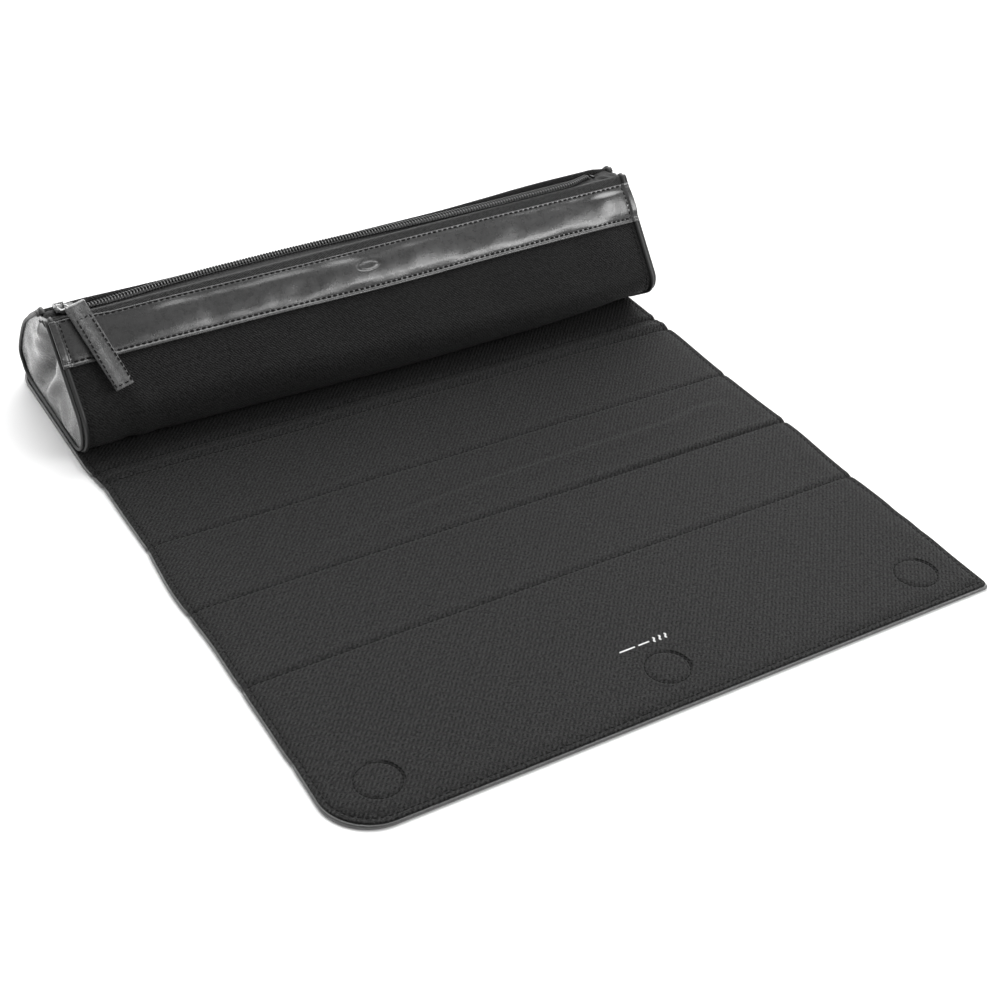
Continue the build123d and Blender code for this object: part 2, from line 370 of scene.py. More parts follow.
def mottled(name, dark, light, scale, detail, depth, roughness, spread, **more):
    """A surface with one fine mottle in its grey, its gloss and its height."""
    s = Shade(name)
    cloud = s.noise(s.solid(), scale, detail)
    rough = s.add(roughness - 0.06, s.times(cloud, spread)) if spread else roughness
    colour = s.ramp(cloud, 0.3, 0.7, dark, light)
    return s.finish(Base_Color=colour, Roughness=rough, Normal=s.bump(cloud, depth), **more)


def thread(name, dark, light, roughness):
    return mottled(name, dark, light, 2600.0, 2.0, 0.06, roughness, 0, Specular_IOR_Level=0.25)


def metal(name, dark, light, roughness):
    return mottled(name, dark, light, 900.0, 4.0, 0.02, roughness, 0.14, Metallic=1.0)


def plastic(name, dark, light, roughness):
    return mottled(name, dark, light, 700.0, 3.0, 0.03, roughness, 0.12)


def foam(name, dark, light):
    s = Shade(name)
    cells = s.put(s.node("ShaderNodeTexVoronoi"), Vector=s.solid(), Scale=900.0).outputs["Distance"]
    colour = s.ramp(cells, 0.0, 0.6, dark, light)
    return s.finish(Base_Color=colour, Roughness=0.92, Normal=s.bump(cells, 0.3))


# name, darkest and lightest grey, then for cloth the weave's pitch and depth in millimetres
MAT_CLOTH = twill("mat_twill", 0.0002, 0.023, 1.9, 0.7, sheen=0.03)
POUCH_NYLON = twill("pouch_nylon", 0.0005, 0.015, 1.25, 0.28, sheen=0.04)
LINING = twill("lining_weave", 0.03, 0.07, 0.9, 0.12, sheen=0.1)
TAPE = twill("zipper_tape_weave", 0.002, 0.016, 0.8, 0.12, sheen=0.05, lean=0.0)
# the lip facing is the zipper tape's cloth in a lighter grey: painted light for the light falling on the
# front lip
FACING_CLOTH_PAINTED_LIGHT = twill("facing_cloth_painted_light", 0.012, 0.042, 0.9, 0.12, sheen=0.12)
BAND_LEATHER = leather("band_leather", 0.006, 0.026, roughness=0.3, coat=1.0, grain=0.024)
PIPING_LEATHER = leather("piping_leather", 0.006, 0.018, roughness=0.5, coat=0.1)
CAP_LEATHER = leather("cap_leather", 0.006, 0.024, roughness=0.26, coat=1.0, crease=0.2)
# the pull tab's leather is a lighter grey copy of the band's gloss leather: painted light for the light
# falling on the tab
TAB_LEATHER_PAINTED_LIGHT = leather("tab_leather_painted_light", 0.03, 0.09, roughness=0.3, coat=1.0)
MAT_LEATHER = leather("mat_leather", 0.02, 0.05, roughness=0.34, coat=0.7)
DARK_THREAD = thread("dark_thread", 0.0015, 0.006, 0.75)
MAT_THREAD = thread("mat_thread", 0.0008, 0.004, 0.8)
COIL_PLASTIC = plastic("coil_nylon", 0.018, 0.045, 0.35)
STEEL = metal("plated_steel", 0.45, 0.68, 0.2)
BLACK_METAL = metal("blackened_metal", 0.03, 0.09, 0.3)
MAGNET = metal("magnet_nickel", 0.35, 0.5, 0.3)
FOAM = foam("grey_foam", 0.12, 0.3)
PRINT = plastic("white_print", 0.45, 0.6, 0.6)


# ---------------------------------------------------------------- the mat

FOLD_NAMES = ("nose", "front", "top", "rear", "heel", "flap")
FOLDS = {name: joint_data(f"{name}_fold")["pos_m"][1] / MM for name in FOLD_NAMES}
FOLD_Z = joint_data("nose_fold")["pos_m"][2] / MM
PANELS = ["pouch"] + [f"{name}_panel" for name in FOLD_NAMES]

flap_low, flap_high = node_box("flap_panel_cloth")
_, base_high = node_box("base_panel_cloth")
CLOTH_HALF = flap_high[0] + 0.3
CLOTH_FRONT = flap_low[1] - 1.0
CLOTH_REAR = base_high[1] - 0.3
LEATHER_HALF = flap_high[0] + 1.2
LEATHER_FRONT = flap_low[1] - 2.1
LEATHER_REAR = base_high[1] + 0.4
FRONT_LEFT_R = 25.0
FRONT_RIGHT_R = 2.5
REAR_R = 5.0
CLOTH_THICK = 1.0
LEATHER_THICK = 0.9
STITCH_IN = 2.7
STITCH_PITCH = 3.3
# side, end and radius of each of the mat's four free corners
CORNERS = (
    (-1, "front", FRONT_LEFT_R),
    (1, "front", FRONT_RIGHT_R),
    (-1, "rear", REAR_R),
    (1, "rear", REAR_R),
)
MAGNET_PLACES = [(-148.3, -180.9), (0.0, -180.0), (148.3, -180.7)]
RING_R = 10.6
PAD_INSET = 6.6  # from the cloth's edge to the pads
FOLD_REACH = 4.0  # how far each side of a fold the start and end points lie
ROW_SLACK = 1e-6

# how each sewn line wanders from its hinge: offset, slant over the half width, groove depth left and right
LINE_SHAPE = {
    "nose": (0.0, 0.0, 1.1, 1.7),
    "front": (-0.8, -1.2, 0.5, 1.3),
    "top": (0.8, 0.1, 0.8, 0.9),
    "rear": (0.0, 0.6, 0.7, 1.5),
    "heel": (-0.8, 0.8, 0.9, 0.9),
}
slow_field = ripple(3, 85.0)
quick_field = ripple(5, 24.0)
edge_field = ripple(8, 60.0)


def line_y(name, x):
    offset, slant = LINE_SHAPE[name][:2]
    return FOLDS[name] + offset + slant * x / CLOTH_HALF


def past_corner(y, end, radius, front, rear):
    """How far y lies beyond the centre of a corner's arc."""
    return front + radius - y if end == "front" else y - rear + radius


def edge_distance(x, y, half, front, rear):
    """How far a point lies inside the mat's rounded outline."""
    inside = np.minimum(half - np.abs(x), np.minimum(y - front, rear - y))
    for sign, end, radius in CORNERS:
        out = past_corner(y, end, radius, front, rear)
        side = sign * x - half + radius
        corner = (side > 0) & (out > 0)
        inside = np.where(corner, radius - np.hypot(side, out), inside)
    return inside


# the soft wrinkle in the top panel, from left to right
WRINKLE_X = (-128.0, -60.0, 0.0, 60.0, 115.0, 140.0, 156.0)
WRINKLE_Y = (-32.0, -24.0, -17.5, -16.8, -16.2, -11.8, -13.0)


def mat_height(x, y):
    """The cloth's top, away from its rounded edge."""
    e = edge_distance(x, y, CLOTH_HALF, CLOTH_FRONT, CLOTH_REAR)
    h = 3.1 + 1.0 * smoothstep(0.4, 9, e) - 0.4 * bump(e, STITCH_IN, 0.8)
    for name, (_, _, deep_left, deep_right) in LINE_SHAPE.items():
        d = y - line_y(name, x)
        deep = deep_left + (deep_right - deep_left) * smoothstep(-120, 120, x)
        h = h - deep * (0.6 * bump(d, 0, 0.9) + 0.25 * bump(d, 0, 3.5))
        h = h + 0.3 * deep * bump(d, 3.4, 1.9) + 0.1 * bump(d, -3.0, 2.0)
    nose_middle = (FOLDS["nose"] + FOLDS["front"]) / 2
    h = h + 0.9 * bump(y, nose_middle - 2.2, 2.4)
    path = np.interp(x, WRINKLE_X, WRINKLE_Y)
    share = smoothstep(-150, -20, x) * (1 - smoothstep(148, 162, x))
    d = y - path
    h = h + share * (0.75 * np.where(d > 0, bump(d, 0, 2.2), bump(d, 0, 6.5)) - 0.35 * bump(d, 4.5, 2.5))
    near_edge = 1 - smoothstep(4, 30, e)
    h = h + slow_field(x, y) * 0.16 * smoothstep(0, 12, e)
    h = h + quick_field(x, y) * 0.12 * near_edge * smoothstep(1, 5, e)
    for mx, my in MAGNET_PLACES:
        r = np.hypot(x - mx, y - my)
        h = h + 0.35 * (1 - smoothstep(7.0, RING_R, r)) - 0.55 * bump(r, RING_R, 0.75)
    under_pouch = smoothstep(92, 102, y)
    return h * (1 - under_pouch) + np.minimum(h, 3.55) * under_pouch


def round_over(e, radius):
    """How far a surface drops at distance e from a rounded edge."""
    inside = 1 - np.clip(e, 0, radius) / radius
    return radius * (1 - np.sqrt(np.clip(1 - inside * inside, 0, 1)))


def spaced(low, high, step):
    count = max(1, int(round((high - low) / step)))
    return np.linspace(low, high, count + 1)


def merged(values, gap):
    """Sorted values without near doubles."""
    kept = []
    for v in sorted(values):
        if not kept or v - kept[-1] > gap:
            kept.append(v)
    return kept


def split_rows():
    """Where the mat's sheets meet: half way between neighbouring folds, where nothing bends."""
    y = list(FOLDS.values())
    return [(a + b) / 2 for a, b in zip(y, y[1:])]


def arc_steps(radius, degrees):
    """Depths from a rounded corner's end, at some turns round its arc."""
    return [radius * (1 - math.cos(t)) for t in np.radians(degrees)]


def mat_rows(front, rear, coarse, fine):
    """Rows along Y, close together at the folds, the corners and the magnets."""
    rows = [front + d for d in arc_steps(FRONT_LEFT_R, (0, 4, 8, 12, 16, 21, 26, 32, 39, 47, 56, 66, 77, 90))]
    rows += [front + d for d in arc_steps(FRONT_RIGHT_R, (30, 45, 60, 75, 90))]
    rows += [rear - d for d in arc_steps(REAR_R, (0, 12, 25, 40, 60, 90))]
    splits = split_rows()
    near = [y + k * fine for y in FOLDS.values() for k in range(-10, 11)]
    magnet_y = MAGNET_PLACES[1][1]
    rows += near + list(spaced(magnet_y - 14, magnet_y + 14, fine))
    between = spaced(front + FRONT_LEFT_R, rear - REAR_R, coarse)
    rows += [y for y in between if all(abs(y - f) > 10.5 * fine for f in FOLDS.values())]
    rows = [y for y in merged(rows, 0.3 * fine) if all(abs(y - s) > 0.4 * fine for s in splits)]
    # the first and last row stay exactly on the outline
    rows = merged(rows + splits, 0.02)
    rows[0], rows[-1] = front, rear
    return np.array(rows)


def half_width(side, y, half, front, rear):
    """How far the outline reaches on one side, for every row."""
    width = np.full(len(y), half)
    for sign, end, radius in CORNERS:
        if sign == side:
            out = past_corner(y, end, radius, front, rear)
            inside = np.clip(out, 0, radius)
            width = width - np.where(out > 0, radius - np.sqrt(radius * radius - inside * inside), 0)
    return width


def edge_columns(step):
    """Column places from -1 to 1, close together near the edges."""
    near = np.array([0, 0.1, 0.25, 0.45, 0.8, 1.3, 1.9, 2.6, 3.3, 4.2, 5.4, 7.0, 9.0])
    middle = spaced(11.5, 2 * CLOTH_HALF - 11.5, step)
    places = np.concatenate([near, middle, 2 * CLOTH_HALF - near[::-1]])
    return places / CLOTH_HALF - 1


def mat_outline_shift(x, y):
    """The free side edges wander a little, with a kink where a fold meets them."""
    side = np.sign(x) * smoothstep(0.75, 1.0, np.abs(x) / CLOTH_HALF)
    wander = 0.55 * edge_field(y, np.sign(x) * 40.0)
    for name in FOLDS:
        wander = wander - 0.3 * bump(y, FOLDS[name], 5.0)
    wander = wander - 0.5 * bump(y, -136.0, 6.0) * (x > 0)
    fade = smoothstep(CLOTH_FRONT + 20, CLOTH_FRONT + 45, y) * (1 - smoothstep(60, 90, y))
    under_pouch = 2.0 * (x < 0) * smoothstep(66, 96, y) * (1 - smoothstep(184, 194, y))
    return side * (wander * fade + under_pouch)


def between(rows, low, high):
    return rows[(rows > low - ROW_SLACK) & (rows < high + ROW_SLACK)]


def mat_grid(rows, columns, half, front, rear):
    left, right = (half_width(side, rows, half, front, rear)[:, None] for side in (-1, 1))
    x = np.where(columns[None] < 0, left, right) * columns[None]
    return x, rows[:, None] + 0 * x


def mat_sheets():
    """The mat's cloth and its leather underside, one sheet of each over every fold."""
    splits = [CLOTH_REAR] + split_rows() + [CLOTH_FRONT]
    cloth_rows = mat_rows(CLOTH_FRONT, CLOTH_REAR, 2.3, 0.6)
    leather_rows = mat_rows(LEATHER_FRONT, LEATHER_REAR, 4.0, 0.8)
    plain = edge_columns(3.0)
    near_rings = [(mx + d) / CLOTH_HALF for mx, _ in MAGNET_PLACES for d in spaced(-13.2, 13.2, 0.6)]
    sheets = []
    for k, name in enumerate(FOLDS):
        high, low = splits[k], splits[k + 1]
        rows = between(cloth_rows, low, high)
        columns = np.array(merged([*plain, *near_rings], 0.0005)) if name == "flap" else plain
        x, y = mat_grid(rows, columns, CLOTH_HALF, CLOTH_FRONT, CLOTH_REAR)
        e = np.maximum(edge_distance(x, y, CLOTH_HALF, CLOTH_FRONT, CLOTH_REAR), 0)
        h = mat_height(x, y)
        shifted = x + mat_outline_shift(x, y)
        drop = round_over(e, 0.46)
        top = np.stack([shifted, y, h - drop], -1)
        under = np.stack([shifted, y, h - CLOTH_THICK + drop], -1)
        cloth = sheet_object(f"{name}_fold_cloth", top, under, MAT_CLOTH, np.stack([x, y], -1))

        low = LEATHER_FRONT if low == CLOTH_FRONT else low
        high = LEATHER_REAR if high == CLOTH_REAR else high
        rows = between(leather_rows, low, high)
        x, y = mat_grid(rows, plain, LEATHER_HALF, LEATHER_FRONT, LEATHER_REAR)
        e = np.maximum(edge_distance(x, y, LEATHER_HALF, LEATHER_FRONT, LEATHER_REAR), 0)
        h = mat_height(x * CLOTH_HALF / LEATHER_HALF, np.clip(y, CLOTH_FRONT, CLOTH_REAR))
        notch = sum(bump(y, f, 1.1) for f in FOLDS.values())
        inward = -np.sign(x) * notch * (1 - smoothstep(0, 6, e)) * 0.35
        shifted = x + mat_outline_shift(x, y) + inward
        rim = np.minimum(h - CLOTH_THICK - 0.08, 2.05 + 1.0 * smoothstep(1.5, 5, e))
        floor = 0.03 + 0.8 * notch
        inner = smoothstep(5.0, 6.2, e)
        body = rim * (1 - inner) + (LEATHER_THICK + floor) * inner
        lift = np.minimum(round_over(e, 0.95), (body - floor) / 2 - 0.03)
        top = np.stack([shifted, y, body - lift], -1)
        under = np.stack([shifted, y, floor + lift], -1)
        skin = sheet_object(f"{name}_fold_leather", top, under, MAT_LEATHER, np.stack([x, y], -1))
        sheets.append((name, cloth, skin))
    return sheets


def mat_pads():
    """The soft pad inside each panel, apart from the flap's, which the CAD model holds."""
    columns = spaced(-1, 1, 0.02)
    half = CLOTH_HALF - PAD_INSET
    limits = [CLOTH_REAR - PAD_INSET] + list(FOLDS.values())
    disc_low, disc_high = node_box("base_steel_discs")
    disc_y, disc_r = (disc_low[1] + disc_high[1]) / 2, (disc_high[1] - disc_low[1]) / 2
    for k, body in enumerate(PANELS[:-1]):
        high, low = limits[k] - (0 if k == 0 else 1.4), limits[k + 1] + 1.4
        rows = spaced(low, high, 1.6)
        x, y = half * columns[None] + 0 * rows[:, None], rows[:, None] + 0 * columns[None]
        top = mat_height(x, y) - CLOTH_THICK - 0.08
        under = np.full_like(x, LEATHER_THICK + 0.12)
        for mx, _ in MAGNET_PLACES:
            r = np.hypot(x - mx, y - disc_y)
            under = under + (1 - smoothstep(disc_r + 0.3, disc_r + 1.6, r)) * 1.0
        points = [np.stack([x, y, z], -1) for z in (np.maximum(top, under + 0.1), under)]
        node = "base_panel_pad" if k == 0 else f"{body}_pad"
        pad = sheet_object(node.replace("panel_", "inner_"), *points, FOAM, np.stack([x, y], -1))
        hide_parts(node)
        settle(body, "mat_pad", pad)


def outline_path(inset):
    """The mat's free edge at some inset, from the rear left corner round the front to the rear right."""
    half, front, rear = CLOTH_HALF - inset, CLOTH_FRONT + inset, CLOTH_REAR - 2
    left_r, right_r = FRONT_LEFT_R - inset, max(FRONT_RIGHT_R - inset, 0.3)
    turn = np.radians(np.linspace(0, 90, 19))
    path = [(-half, y) for y in spaced(front + left_r, rear, 4.0)[::-1]]
    path += [(-half + left_r * (1 - math.cos(t)), front + left_r * (1 - math.sin(t))) for t in turn]
    path += [(x, front) for x in spaced(-half + left_r, half - right_r, 4.0)]
    path += [(half - right_r * (1 - math.cos(t)), front + right_r * (1 - math.sin(t))) for t in turn[::-1]]
    path += [(half, y) for y in spaced(front + right_r, rear, 4.0)]
    kept = [path[0]]
    for p in path[1:]:
        if math.dist(p, kept[-1]) > 0.05:
            kept.append(p)
    return np.array(kept)


def on_mat(flat, directions):
    """Places and directions on the mat's top, with the surface's own slope."""
    x, y = flat[:, 0], flat[:, 1]
    z = mat_height(x, y)
    step = 0.4
    slope_x = (mat_height(x + step, y) - mat_height(x - step, y)) / (2 * step)
    slope_y = (mat_height(x, y + step) - mat_height(x, y - step)) / (2 * step)
    normal = units(np.stack([-slope_x, -slope_y, np.ones_like(x)], 1))
    rise = directions[:, 0] * slope_x + directions[:, 1] * slope_y
    along = units(np.column_stack([directions, rise]))
    return np.column_stack([x + mat_outline_shift(x, y), y, z]), along, normal


def round_magnet(mx, my, radius, turn):
    return np.column_stack([mx + radius * np.cos(turn), my + radius * np.sin(turn)])


def mat_stitches(sheets):
    """Edge seams, fold seams and the rings round the magnets, sorted by the sheet that they lie in."""
    rows = [resample(outline_path(STITCH_IN), STITCH_PITCH)]
    for name in LINE_SHAPE:
        x = spaced(-CLOTH_HALF + 1.5, CLOTH_HALF - 1.5, 6.0)
        rows.append(resample(np.column_stack([x, line_y(name, x)]), 3.1))
    for mx, my in MAGNET_PLACES:
        rows.append(resample(round_magnet(mx, my, RING_R, np.linspace(0, 2 * math.pi, 41)), 2.4))
        # the ring's last stitches are sewn beside the first ones
        rows.append(resample(round_magnet(mx, my, RING_R + 1.1, np.linspace(-0.35, 0.9, 9)), 2.4))
    flat = np.concatenate([r[0] for r in rows])
    directions = np.concatenate([r[1] for r in rows])
    splits = [CLOTH_REAR + 10] + split_rows() + [CLOTH_FRONT - 10]
    made = []
    for k, (name, _, _) in enumerate(sheets):
        mine = (flat[:, 1] <= splits[k]) & (flat[:, 1] > splits[k + 1])
        centres, along, up = on_mat(flat[mine], directions[mine])
        made.append(stitches_object(f"{name}_fold_stitches", centres, along, up, MAT_THREAD, 2.3, 0.34))
    return made


MARK_Y = -161.5
MARK_BARS = ((-14.0, -5.5), (-3.5, 2.5))
MARK_WAVES = (5.2, 8.4, 11.6)
MARK_LINE = 0.38  # half the width of a stroke


def heat_mark():
    """A small generic warm-surface mark, printed beside the middle magnet: two bars, three wavy strokes."""
    strokes = [np.column_stack([np.linspace(low, high, 18), np.full(18, MARK_Y)]) for low, high in MARK_BARS]
    t = np.linspace(-1, 1, 24)
    strokes += [np.column_stack([x + 0.55 * np.sin(t * math.pi), MARK_Y + 1.5 * t]) for x in MARK_WAVES]
    points, faces, count = [], [], 0
    for path in strokes:
        direction = units(np.gradient(path, axis=0))
        side = MARK_LINE * np.column_stack([-direction[:, 1], direction[:, 0]])
        x, y = np.moveaxis(np.stack([path - side, path + side], 1), -1, 0)
        p, f = closed_sheet(*(np.stack([x, y, mat_height(x, y) + lift], -1) for lift in (0.12, -0.1)))
        faces += [[v + count for v in face] for face in f]
        points.append(p)
        count += len(p)
    return add_object("heat_mark", np.concatenate(points), faces, PRINT)


sheets = mat_sheets()
mat_threads = mat_stitches(sheets)
mark = heat_mark()
sheet_ends = [CLOTH_REAR] + split_rows() + [CLOTH_FRONT]
for k, (name, cloth, skin) in enumerate(sheets):
    start, end = ((0, (FOLDS[name] + reach) * MM, FOLD_Z * MM) for reach in (FOLD_REACH, -FOLD_REACH))
    for piece in (cloth, skin, mat_threads[k]):
        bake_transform(piece)
        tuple(start)
        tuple(end)
    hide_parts(f"{name}_panel_cloth")
    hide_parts(f"{name}_panel_leather")
mat_pads()
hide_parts("base_panel_cloth")
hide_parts("base_panel_leather")
settle("flap_panel", "mat_cloth", mark)


# ---------------------------------------------------------------- the pouch

HALF_POUCH = 175.0
# at each end: nose y, nose radius, lip y, lip z, rear corner y
LEFT_END = np.array([69.5, 16.5, 133.5, 68.0, 209.5])
RIGHT_END = np.array([68.5, 18.3, 129.0, 77.5, 213.5])
REAR_R_POUCH = 9.4
LIP_R = 1.5
BELLY_R = 20.0
NOSE_LIFT = 18.6
NOSE_LIFT_FROM = -90.0
MAT_TOP = base_high[2]
TAB_X = -152.0
ZIP_RUN, ZIP_DROP = 14.5, 3.2  # the mouth's size along Y, and how much lower its rear edge lies
ZIP_ALONG = unit((ZIP_RUN, -ZIP_DROP))
ZIP_UP = unit((ZIP_DROP, ZIP_RUN))
MOUTH_LENGTH = math.hypot(ZIP_RUN, ZIP_DROP)
TAPE_DEPTH = 1.6
ARC_STEPS = 14
BAND_THICK = 1.15
BAND_GAP = 0.1  # between the wall and the band
BAND_END = HALF_POUCH + 1.2
TOP_SEAM = 1.0  # from the band's upper edge
LOW_SEAM = 2.7  # from the band's lower edge
END_SEAM_X = 170.9
SHELL_SEAM_X = 170.6
SHELL_SEAM_END = 92.0  # measured down from the lip
FACING_UNDER = 3.8  # how far the facing runs under the band
MARK_X, MARK_S = 1.0, 14.5
MARK_HALF = (6.5, 2.6)

pouch_field = ripple(21, 70.0)
pouch_fine = ripple(22, 26.0)
band_field = ripple(31, 34.0)
band_fine = ripple(32, 13.0)
lip_field = ripple(41, 90.0)


def end_values(x):
    return LEFT_END + (RIGHT_END - LEFT_END) * (x + HALF_POUCH) / (2 * HALF_POUCH)


def rear_lip_rise(x):
    """The rear lip is a free fold: it stands a little over the tape and curls up towards the right end."""
    free = 1.3 - 0.5 * smoothstep(-130, -60, x) + 2.0 * smoothstep(50, 140, x)
    return free - 1.6 * smoothstep(162, 173, x) - 0.9 * (1 - smoothstep(-172, -150, x))


def lips(x):
    """The front lip and the rear lip at x, before the rear one is raised."""
    _, _, lip_y, lip_z, _ = end_values(x)
    front = np.array([lip_y, lip_z])
    return front, front + ZIP_ALONG * MOUTH_LENGTH


def mouth(x, u, v):
    """A point at x in the zipper's axes: u from the mouth's middle to the rear, v up from its plane."""
    front, rear = lips(x)
    y, z = (front + rear) / 2 + ZIP_ALONG * u + ZIP_UP * v
    return np.array([x, y, z])


def rounded(points, radii):
    """A path of straight runs and arcs, with the same number of points whatever its shape."""
    path = [points[0]]
    for before, here, after, radius in zip(points, points[1:], points[2:], radii):
        a, b = unit(before - here), unit(after - here)
        half = math.acos(np.clip(a @ b, -1, 1)) / 2
        centre = here + unit(a + b) * radius / math.sin(half)
        first, last = here + a * radius / math.tan(half), here + b * radius / math.tan(half)
        start, stop = first - centre, last - centre
        whole = math.pi - 2 * half
        for t in np.linspace(0, whole, ARC_STEPS):
            path.append(centre + (start * math.sin(whole - t) + stop * math.sin(t)) / math.sin(whole))
    path.append(points[-1])
    return np.array(path)


def wall_path(x):
    """The outline at x, from inside the mouth over the front lip, round the pouch and over the rear lip."""
    nose_y, nose_r, _, _, rear_y = end_values(x)
    front, rear = lips(x)
    # towards the right end the nose is cut back by an underside that slopes up from the belly
    share = np.clip((x - NOSE_LIFT_FROM) / (HALF_POUCH - NOSE_LIFT_FROM), 0, 1) ** 1.3
    lift = 0.3 + NOSE_LIFT * share
    nose = np.array([nose_y + (front[0] - nose_y) * lift / (front[1] - MAT_TOP), MAT_TOP + lift])
    belly = np.array([nose[0] + 45 - 17 * share, MAT_TOP])
    nose_r = nose_r + (9.0 - nose_r) * share
    rise = rear_lip_rise(x)
    rear = rear + ZIP_UP * rise
    inside_front = front + ZIP_ALONG * 1.9 - ZIP_UP * 1.5
    inside_rear = rear - ZIP_ALONG * 1.7 - ZIP_UP * (1.5 + rise)
    corners = [inside_front, front, nose, belly, np.array([rear_y, MAT_TOP]), rear, inside_rear]
    return rounded(corners, [LIP_R, nose_r, BELLY_R, REAR_R_POUCH, 1.2])


class Wall:
    """The pouch's wall over a row of places along X. s is measured down the front from the lip."""

    def __init__(self, xs):
        self.xs = np.asarray(xs, float)
        self.paths = [wall_path(x) for x in self.xs]
        self.lengths = []
        for path in self.paths:
            run = run_along(path)
            self.lengths.append(run - run[1 + ARC_STEPS // 2])
        self.start = np.array([run[0] for run in self.lengths])
        self.end = np.array([run[-1] for run in self.lengths])

    def flat(self, s):
        """Points and outward normals in the section's plane, for s of shape (rows, places)."""
        spots = np.zeros(s.shape + (2,))
        normal = np.zeros(s.shape + (2,))
        for k, (path, run) in enumerate(zip(self.paths, self.lengths)):
            for axis in (0, 1):
                spots[:, k, axis] = np.interp(s[:, k], run, path[:, axis])
                ahead = np.interp(s[:, k] + 0.25, run, path[:, axis])
                behind = np.interp(s[:, k] - 0.25, run, path[:, axis])
                normal[:, k, axis] = ahead - behind
        normal = units(normal)
        return spots, np.stack([normal[..., 1], -normal[..., 0]], -1)

    def surface(self, s, offset):
        """Points at an offset from the soft wall, which swells and creases."""
        spots, normal = self.flat(s)
        swell = wall_swell(self.xs[None] + 0 * s, s, self.end[None])
        spots = spots + normal * (offset + swell)[..., None]
        z = np.maximum(spots[..., 1], MAT_TOP - 0.42)
        return np.stack([self.xs[None] + 0 * s, spots[..., 0], z], -1)


def wall_swell(x, s, end):
    """How far the soft wall stands out from its plain shape."""
    inner = smoothstep(0, 26, HALF_POUCH - np.abs(x)) * (1 - 0.8 * bump(x, TAB_X, 26))
    front = bump(s, 33, 24) * 1.5
    rear = bump(s, end - 46, 30) * 1.8
    soft = 0.4 * pouch_field(x, s * 1.3) + 0.14 * pouch_fine(x * 0.8, s)
    soft = soft * (1 - 0.7 * smoothstep(62, 80, s) * (1 - smoothstep(115, 140, s)))
    crease = -1.1 * bump(x, -152.5 + 0.06 * (s - 30), 4.2) - 0.75 * bump(x, -131 - 0.05 * (s - 30), 5.5)
    crease = crease + 0.3 * bump(x, -141.5, 5.5) - 0.3 * bump(x, 152, 7)
    below_band = smoothstep(34, 48, s) * (1 - smoothstep(78, 96, s))
    calm = smoothstep(2, 14, s) * smoothstep(2, 16, end - s)
    # at the left end the rear wall bulges and its lower corner is pulled in
    bulge = (5.6 * bump(s, end - 36, 24) - 5.5 * bump(s, end - 80, 12)) * smoothstep(-110, -172, x)
    return (front + rear + soft) * inner * calm + crease * below_band + bulge


def band_high(x):
    """The band's upper edge: the zipper's facing shows between it and the lip."""
    left = 1.8 + 1.7 * smoothstep(-168, -140, x)
    return left + 1.1 * smoothstep(-120, -20, x) + 0.7 * smoothstep(40, 150, x)


def band_low(x):
    """The band's lower edge."""
    return 28.8 - 1.4 * (1 - smoothstep(-110, -10, x)) + 0.22 * lip_field(x, 0.0)


def band_relief(x, s):
    """The leather's soft hollows between its seams, and the shallow grooves that the seams pull."""
    high, low = band_high(x), band_low(x)
    down = (s - high) / (low - high)
    inner = smoothstep(1.5, 6.0, s - high) * smoothstep(2.0, 7.0, low - s)
    soft = 0.2 * band_field(x * 0.7, s * 1.6) + 0.08 * band_fine(x, s) + 1.0 * bump(down, 0.55, 0.4)
    relief = inner * soft * (1 - 0.9 * bump(x, TAB_X, 26))
    relief = relief - 0.2 * bump(s, high + TOP_SEAM, 0.5) - 0.35 * bump(s, low - LOW_SEAM, 0.8)
    relief = relief + 0.2 * bump(s, low - 1.0, 0.6)
    relief = relief + 1.2 * inner * bump(x, 160 - 8 * down, 9) * bump(down, 0.25, 0.3)
    relief = relief - 0.5 * inner * bump(x, 140 + 12 * down, 9)
    end = smoothstep(171.6, 172.6, np.abs(x))
    return relief - 0.35 * bump(np.abs(x), END_SEAM_X, 0.8) + 0.55 * end


def wall_columns(end, coarse):
    near = np.array([0, 0.2, 0.45, 0.8, 1.3, 2.0, 2.8, 3.6, 4.4, 5.2, 6.0, 7.0, 8.5, 10.5, 13])
    middle = spaced(-end + 15.5, end - 15.5, coarse)
    return np.concatenate([-end + near, middle, end - near[::-1]])


def wall_grid(wall, share, first, last, end):
    """x, s and the distance from the nearest edge, on a grid over the wall from first to last."""
    s = first + share[:, None] * (last - first)[None]
    x = wall.xs[None] + 0 * s
    return x, s, np.minimum(np.minimum(s - first, last[None] - s), end - np.abs(x))


def press_mark(x, s):
    """A plain oval pressed into the leather."""
    r = np.hypot((x - MARK_X) / MARK_HALF[0], (s - MARK_S) / MARK_HALF[1])
    return -0.35 * bump(r, 1.0, 0.16)


def leather_band():
    xs = wall_columns(BAND_END, 2.4)
    fine = spaced(MARK_X - 8, MARK_X + 8, 0.4)
    xs = np.array(merged([*xs[np.abs(xs - MARK_X) > 8.2], *fine], 0.05))
    wall = Wall(xs)
    share = np.concatenate([
        [0, 0.004, 0.012, 0.025, 0.04, 0.055, 0.07, 0.09, 0.11, 0.13, 0.15, 0.17, 0.2],
        spaced(0.225, 0.36, 0.03),
        spaced(0.38, 0.66, 0.014),
        spaced(0.69, 0.84, 0.03),
        [0.865, 0.885, 0.905, 0.925, 0.945, 0.96, 0.972, 0.982, 0.99, 0.996, 1.0],
    ])
    x, s, e = wall_grid(wall, share, band_high(xs), band_low(xs), BAND_END)
    drop = round_over(e, BAND_THICK / 2 - 0.03)
    relief = band_relief(x, s) + press_mark(x, s)
    outer = wall.surface(s, BAND_THICK + BAND_GAP - drop + relief)
    inner = wall.surface(s, BAND_GAP + drop + np.minimum(relief, 0.75))
    return sheet_object("leather_band", outer, inner, BAND_LEATHER, np.stack([x, s], -1))


LIP_OUTWARD = np.array([0, -0.6, 0.8])


